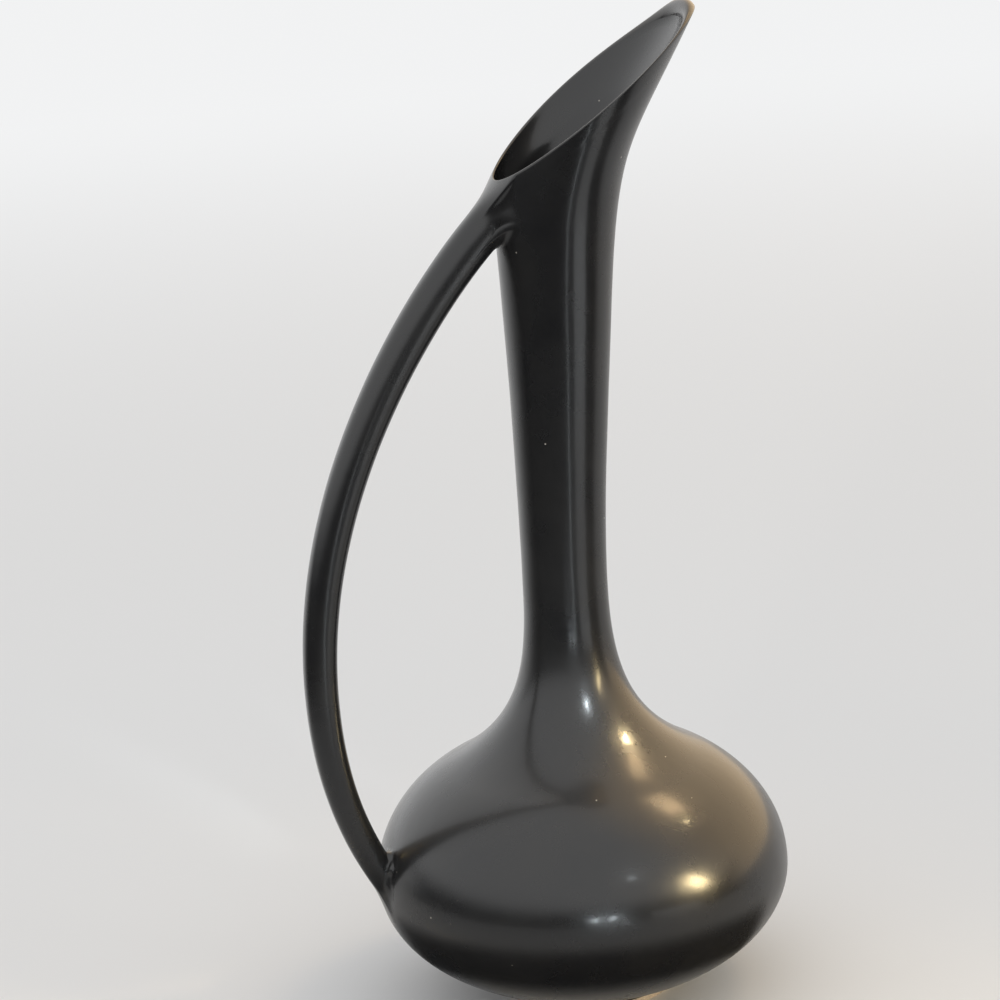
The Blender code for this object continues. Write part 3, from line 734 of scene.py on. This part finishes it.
def round_the_ewer(azimuth, elevation, distance, height=0.0):
    """A place by degrees to the right of the camera, degrees up, and metres from the axis."""
    a, e = math.radians(azimuth), math.radians(elevation)
    way = Vector((math.sin(a) * math.cos(e), -math.cos(a) * math.cos(e), math.sin(e)))
    return Matrix.Rotation(-TURN, 3, "Z") @ way * distance + Vector((0, 0, height))


def soft_strip(name, start, end, width, aim, radiance, colour, grid=None):
    """A strip light from one place to another that shines one radiance from its whole face.

    A grid keeps its light within an angle each side of its aim, off the floor around."""
    lamp = bpy.data.lights.new(name, "AREA")
    lamp.shape = "RECTANGLE"
    lamp.size, lamp.size_y = (end - start).length, width
    lamp.energy = radiance * math.pi * lamp.size * width
    if grid:
        lamp.spread = 2 * grid
        lamp.energy *= (math.tan(grid) - grid) / math.tan(grid)
    lamp.color = colour
    light = bpy.data.objects.new(name, lamp)
    middle = (start + end) / 2
    face = (middle - aim).normalized()
    along = (end - start).normalized()
    along = (along - face * along.dot(face)).normalized()
    turned = Matrix((along, face.cross(along), face)).transposed().to_4x4()
    light.matrix_world = Matrix.Translation(middle) @ turned
    light.visible_camera = False
    bpy.context.scene.collection.objects.link(light)


COOL = (0.86, 0.95, 1.0)
WARM = (1.0, 0.78, 0.42)
AMBER = (1.0, 0.70, 0.38)
STRIP_HEIGHT = 0.004
BULB_AIM = Vector((0, 0, 0.10))
BULB_LOW_AIM = Vector((0, 0, 0.055))
BULB_FRONT_AIM = round_the_ewer(30, 0, 0.09, 0.041)
SHOULDER_AIM = round_the_ewer(41, 0, 0.034, 0.160)
NECK_FOOT_AIM = round_the_ewer(13, 0, 0.026, 0.186)
GRID = math.radians(20.0)
FINE_GRID = math.radians(10.0)
FINEST_GRID = math.radians(5.0)


def small_lamp(name, start, end, away, centre, width, aim, radiance, colour, grid):
    """A gridded strip between two directions, at a distance from a height on the ewer's axis."""
    soft_strip(name, round_the_ewer(*start, away, centre), round_the_ewer(*end, away, centre),
               width, aim, radiance, colour, grid)


def floor_strip(name, azimuth, near, far, width, radiance):
    """A strip that lies on the floor, pointing away from the ewer, and shines straight up."""
    start = round_the_ewer(azimuth, 0, near, STRIP_HEIGHT)
    end = round_the_ewer(azimuth, 0, far, STRIP_HEIGHT)
    soft_strip(name, start, end, width, (start + end) / 2 + Vector((0, 0, 1)), radiance, COOL)


small_lamp("spark_left", (3.4, -1.2), (6.4, -2.0), away=1.0, centre=0.07, width=0.026,
           aim=BULB_LOW_AIM, radiance=72.0, colour=COOL, grid=FINE_GRID)
small_lamp("spark_right", (12.2, -2.4), (15.8, -0.8), away=1.0, centre=0.07, width=0.022,
           aim=BULB_LOW_AIM, radiance=72.0, colour=COOL, grid=FINE_GRID)
small_lamp("neck_spark", (27, 20), (29, 42), away=0.5, centre=0.15, width=0.018,
           aim=NECK_FOOT_AIM, radiance=200.0, colour=COOL, grid=FINEST_GRID)
small_lamp("low_lamp", (55, 18), (70, 3), away=0.9, centre=0.07, width=0.13,
           aim=BULB_FRONT_AIM, radiance=60.0, colour=WARM, grid=FINE_GRID)
small_lamp("high_lamp", (88.5, 43.0), (95.5, 46.5), away=0.62, centre=0.12, width=0.05,
           aim=SHOULDER_AIM, radiance=400.0, colour=WARM, grid=FINEST_GRID)
small_lamp("shade_glow", (100, 49), (122, 59), away=1.0, centre=0.12, width=0.17,
           aim=BULB_AIM, radiance=10.0, colour=AMBER, grid=GRID)
floor_strip("band_light", azimuth=47.5, near=0.85, far=1.35, width=0.44, radiance=0.52)
floor_strip("line_light", azimuth=19.7, near=0.45, far=1.35, width=0.034, radiance=1.9)


def plain_finish(name, colour, roughness):
    finish = bpy.data.materials.new(name)
    finish.use_nodes = True
    shader = finish.node_tree.nodes["Principled BSDF"]
    shader.inputs["Base Color"].default_value = (*colour, 1)
    shader.inputs["Roughness"].default_value = roughness
    return finish


def reckoned(add, operation, a, b):
    """What a sum, product or other operation makes of two values, node by node."""
    return add("ShaderNodeMath", {0: a, 1: b}, operation=operation).outputs["Value"]


def ramp(add, value, start, end):
    """Rises smoothly from 0 to 1 while a value goes from start to end."""
    return add("ShaderNodeMapRange", {"Value": value, "From Min": start, "From Max": end},
               interpolation_type="SMOOTHSTEP").outputs["Result"]


def fade_over(finish, share, other):
    """Mixes another shader over a finish by a share."""
    tree, add = node_maker(finish)
    own = tree.nodes["Principled BSDF"].outputs["BSDF"]
    mixed = add("ShaderNodeMixShader", {0: share, 1: own, 2: other})
    tree.links.new(mixed.outputs["Shader"], tree.nodes["Material Output"].inputs["Surface"])


def stage_sheet(name, points, faces, finish):
    """A thin sheet through points, for the stage."""
    mesh = bpy.data.meshes.new(name)
    mesh.from_pydata(points, [], faces)
    mesh.materials.append(finish)
    made = bpy.data.objects.new(name, mesh)
    bpy.context.scene.collection.objects.link(made)
    return made


FLOOR_COLOUR = (0.77, 0.77, 0.77)
FLOOR_ROUGHNESS = 0.9
FLOOR_REACH = 30
FLOOR_CORNERS = [(x * FLOOR_REACH, y * FLOOR_REACH, 0) for x, y in ((-1, -1), (1, -1), (1, 1), (-1, 1))]
BACKDROP_START = 0.8
BACKDROP_FULL = 4.0
pale_floor = plain_finish("pale_floor", FLOOR_COLOUR, FLOOR_ROUGHNESS)
tree, add = node_maker(pale_floor)
place = add("ShaderNodeTexCoord").outputs["Object"]
away = add("ShaderNodeVectorMath", {0: place}, operation="LENGTH").outputs["Value"]
ray = add("ShaderNodeLightPath").outputs
seen = reckoned(add, "MAXIMUM", ray["Is Camera Ray"], ray["Is Glossy Ray"])
seen = reckoned(add, "MAXIMUM", seen, ray["Is Transmission Ray"])
pale_share = reckoned(add, "MULTIPLY", ramp(add, away, BACKDROP_START, BACKDROP_FULL), seen)
backdrop = add("ShaderNodeEmission", {"Color": (*PALE, 1)}).outputs["Emission"]
fade_over(pale_floor, pale_share, backdrop)
stage_sheet("floor", FLOOR_CORNERS, [(0, 1, 2, 3)], pale_floor)

# The cards' black shows only in the gloss, as painted dark reflections in the glaze.
CARD_BLACK = (0.02, 0.02, 0.021)
CARD_ROUGHNESS = 0.95
CARD_HEIGHT = 0.0015
CARD_NEAR = 0.050
CARD_FULL = 0.085
CARD_FAR = 3.0
CARD_LEFT = -108
LEFT_SOFT = 24
CARD_RIGHT = 90
RIGHT_SOFT = 9
CARD_THINS = 0.65
CARD_ENDS = 172
END_SOFT = 16
FRONT_PALER = 0.60
PALER_FROM = (0.12, 0.20)
PALER_TO = (0.62, 0.42)
GAPS = ((18.0, 21.4), (34.0, 61.0))
GAP_SOFT = 0.6
GAPS_OPEN = (0.28, 0.55)
SCREEN_HEIGHT = 1.0
SCREEN_CLEAR = SCREEN_HEIGHT - 0.1
CARD_STEPS = 60


def card_finish(name):
    """Black card, with the height, distance and direction that its fading goes by."""
    finish = plain_finish(name, CARD_BLACK, CARD_ROUGHNESS)
    tree, add = node_maker(finish)
    place = add("ShaderNodeTexCoord").outputs["Object"]
    apart = add("ShaderNodeSeparateXYZ", {"Vector": place}).outputs
    flat = add("ShaderNodeVectorMath", {0: place, 1: (1, 1, 0)}, operation="MULTIPLY")
    away = add("ShaderNodeVectorMath", {0: flat.outputs["Vector"]}, operation="LENGTH")
    towards = reckoned(add, "MULTIPLY", apart["Y"], -1.0)
    side = reckoned(add, "ARCTAN2", apart["X"], towards)
    return finish, add, apart["Z"], away.outputs["Value"], side


def side_ramp(add, side, start, end):
    """Rises from 0 to 1 between two directions in degrees."""
    return ramp(add, side, math.radians(start), math.radians(end))


def only_in_gloss(card):
    """Neither the camera nor any light on the floor sees a card, and it throws no shadow."""
    card.visible_camera = False
    card.visible_diffuse = False
    card.visible_shadow = False


def bent_card(name, near, far, finish, clear):
    """A card between two level arcs that is clear by a share and shows only in the gloss, as a painted dark
    reflection.
    """
    fade_over(finish, clear, node_maker(finish)[1]("ShaderNodeBsdfTransparent").outputs["BSDF"])
    angles = np.radians(np.linspace(CARD_LEFT - LEFT_SOFT, CARD_ENDS, CARD_STEPS + 1))
    points = [(math.sin(a) * radius, -math.cos(a) * radius, rise)
              for radius, rise in (near, far) for a in angles]
    row = CARD_STEPS + 1
    faces = [(i, i + 1, i + 1 + row, i + row) for i in range(CARD_STEPS)]
    card = stage_sheet(name, points, faces, finish)
    card.matrix_world = Matrix.Rotation(-TURN, 4, "Z")
    only_in_gloss(card)


# The floor card's black is a painted dark reflection on the bulb's underside and on the neck.
floor_card, add, _, away, side = card_finish("floor_card")
left_end = side_ramp(add, side, CARD_LEFT + LEFT_SOFT, CARD_LEFT - LEFT_SOFT)
right_end = side_ramp(add, side, CARD_ENDS - END_SOFT, CARD_ENDS)
thinned = reckoned(add, "MULTIPLY", CARD_THINS,
                   side_ramp(add, side, CARD_RIGHT - RIGHT_SOFT, CARD_RIGHT + RIGHT_SOFT))
paler = reckoned(add, "MULTIPLY", ramp(add, away, *PALER_FROM), ramp(add, away, *PALER_TO))
paler = reckoned(add, "MULTIPLY", paler, FRONT_PALER)
clear = ramp(add, away, CARD_FULL, CARD_NEAR)
for share in (left_end, right_end, thinned, paler):
    clear = reckoned(add, "MAXIMUM", clear, share)
for gap_start, gap_end in GAPS:
    gap = reckoned(add, "MULTIPLY", side_ramp(add, side, gap_start - GAP_SOFT, gap_start + GAP_SOFT),
                   side_ramp(add, side, gap_end + GAP_SOFT, gap_end - GAP_SOFT))
    open_share = reckoned(add, "MULTIPLY", gap, ramp(add, away, *GAPS_OPEN))
    clear = reckoned(add, "MAXIMUM", clear, open_share)
bent_card("floor_card", (CARD_NEAR, CARD_HEIGHT), (CARD_FAR, CARD_HEIGHT), floor_card, clear)

# The low screen's black is a painted dark reflection at low angles, fading clear upwards.
low_screen, add, height, _, side = card_finish("low_screen")
clear = ramp(add, height, 0.0, SCREEN_CLEAR)
for start, end in ((CARD_LEFT + LEFT_SOFT, CARD_LEFT - LEFT_SOFT),
                   (CARD_RIGHT - RIGHT_SOFT, CARD_RIGHT + RIGHT_SOFT)):
    clear = reckoned(add, "MAXIMUM", clear, side_ramp(add, side, start, end))
bent_card("low_screen", (CARD_FAR, 0.0), (CARD_FAR, SCREEN_HEIGHT), low_screen, clear)

# The warm screen glows by its own emission though it is no lamp, and shows only in the gloss: a painted tan
# reflection in the glaze.
WARM_SCREEN_AWAY = 4.0
WARM_SCREEN_WAY = round_the_ewer(128, 26, 1.0)
WARM_SCREEN_FADES = 0.35
WARM_SCREEN_GLOW_COLOUR = (1.0, 0.76, 0.49, 1)
WARM_SCREEN_GLOW_STRENGTH = 1.5
SCREEN_AZIMUTHS = range(38, 219, 10)
SCREEN_ELEVATIONS = range(0, 90, 8)
glowing_warm_screen = plain_finish("glowing_warm_screen", (0, 0, 0), CARD_ROUGHNESS)
glow = glowing_warm_screen.node_tree.nodes["Principled BSDF"].inputs
glow["Specular IOR Level"].default_value = 0.0
glow["Emission Color"].default_value = WARM_SCREEN_GLOW_COLOUR
glow["Emission Strength"].default_value = WARM_SCREEN_GLOW_STRENGTH
tree, add = node_maker(glowing_warm_screen)
place = add("ShaderNodeTexCoord").outputs["Object"]
way = add("ShaderNodeVectorMath", {0: place}, operation="NORMALIZE").outputs["Vector"]
facing = add("ShaderNodeVectorMath", {0: way, 1: WARM_SCREEN_WAY}, operation="DOT_PRODUCT")
faded = ramp(add, facing.outputs["Value"], 1.0, WARM_SCREEN_FADES)
fade_over(glowing_warm_screen, faded, add("ShaderNodeBsdfTransparent").outputs["BSDF"])
screen_points = [round_the_ewer(azimuth, elevation, WARM_SCREEN_AWAY)
                 for elevation in SCREEN_ELEVATIONS for azimuth in SCREEN_AZIMUTHS]
row = len(SCREEN_AZIMUTHS)
screen_faces = [(i, i + 1, i + 1 + row, i + row) for level in range(len(SCREEN_ELEVATIONS) - 1)
                for i in range(level * row, level * row + row - 1)]
only_in_gloss(stage_sheet("glowing_warm_screen", screen_points, screen_faces, glowing_warm_screen))

world = bpy.data.worlds.new("room")
bpy.context.scene.world = world
world.use_nodes = True
world.node_tree.nodes["Background"].inputs["Color"].default_value = (*PALE, 1)


# The camera stands where the photograph was taken from: 1.3 m off, 0.1 m higher than the
# ewer's tip, tipped down and slightly rolled, with a long lens.

CAMERA_AWAY = 1.2926
CAMERA_HEIGHT = 0.5449
LENS = 108.0
SENSOR = 36.0
PITCH = math.radians(13.7)
PAN = math.radians(-1.17)
ROLL = math.radians(-3.89)
forward = Vector((math.sin(PAN) * math.cos(PITCH), math.cos(PAN) * math.cos(PITCH), -math.sin(PITCH)))
level_right = Vector((math.cos(PAN), -math.sin(PAN), 0))
level_up = level_right.cross(forward)
right = level_right * math.cos(ROLL) + level_up * math.sin(ROLL)
up = level_up * math.cos(ROLL) - level_right * math.sin(ROLL)
aim = Matrix((right, up, -forward)).transposed().to_4x4()
eye = bpy.data.cameras.new("camera")
eye.lens = LENS
eye.sensor_width = SENSOR
camera = bpy.data.objects.new("camera", eye)
bpy.context.scene.collection.objects.link(camera)
stand = Matrix.Translation((0, -CAMERA_AWAY, CAMERA_HEIGHT))
camera.matrix_world = Matrix.Rotation(-TURN, 4, "Z") @ stand @ aim
bpy.context.scene.camera = camera
bpy.context.scene.view_settings.view_transform = "Standard"
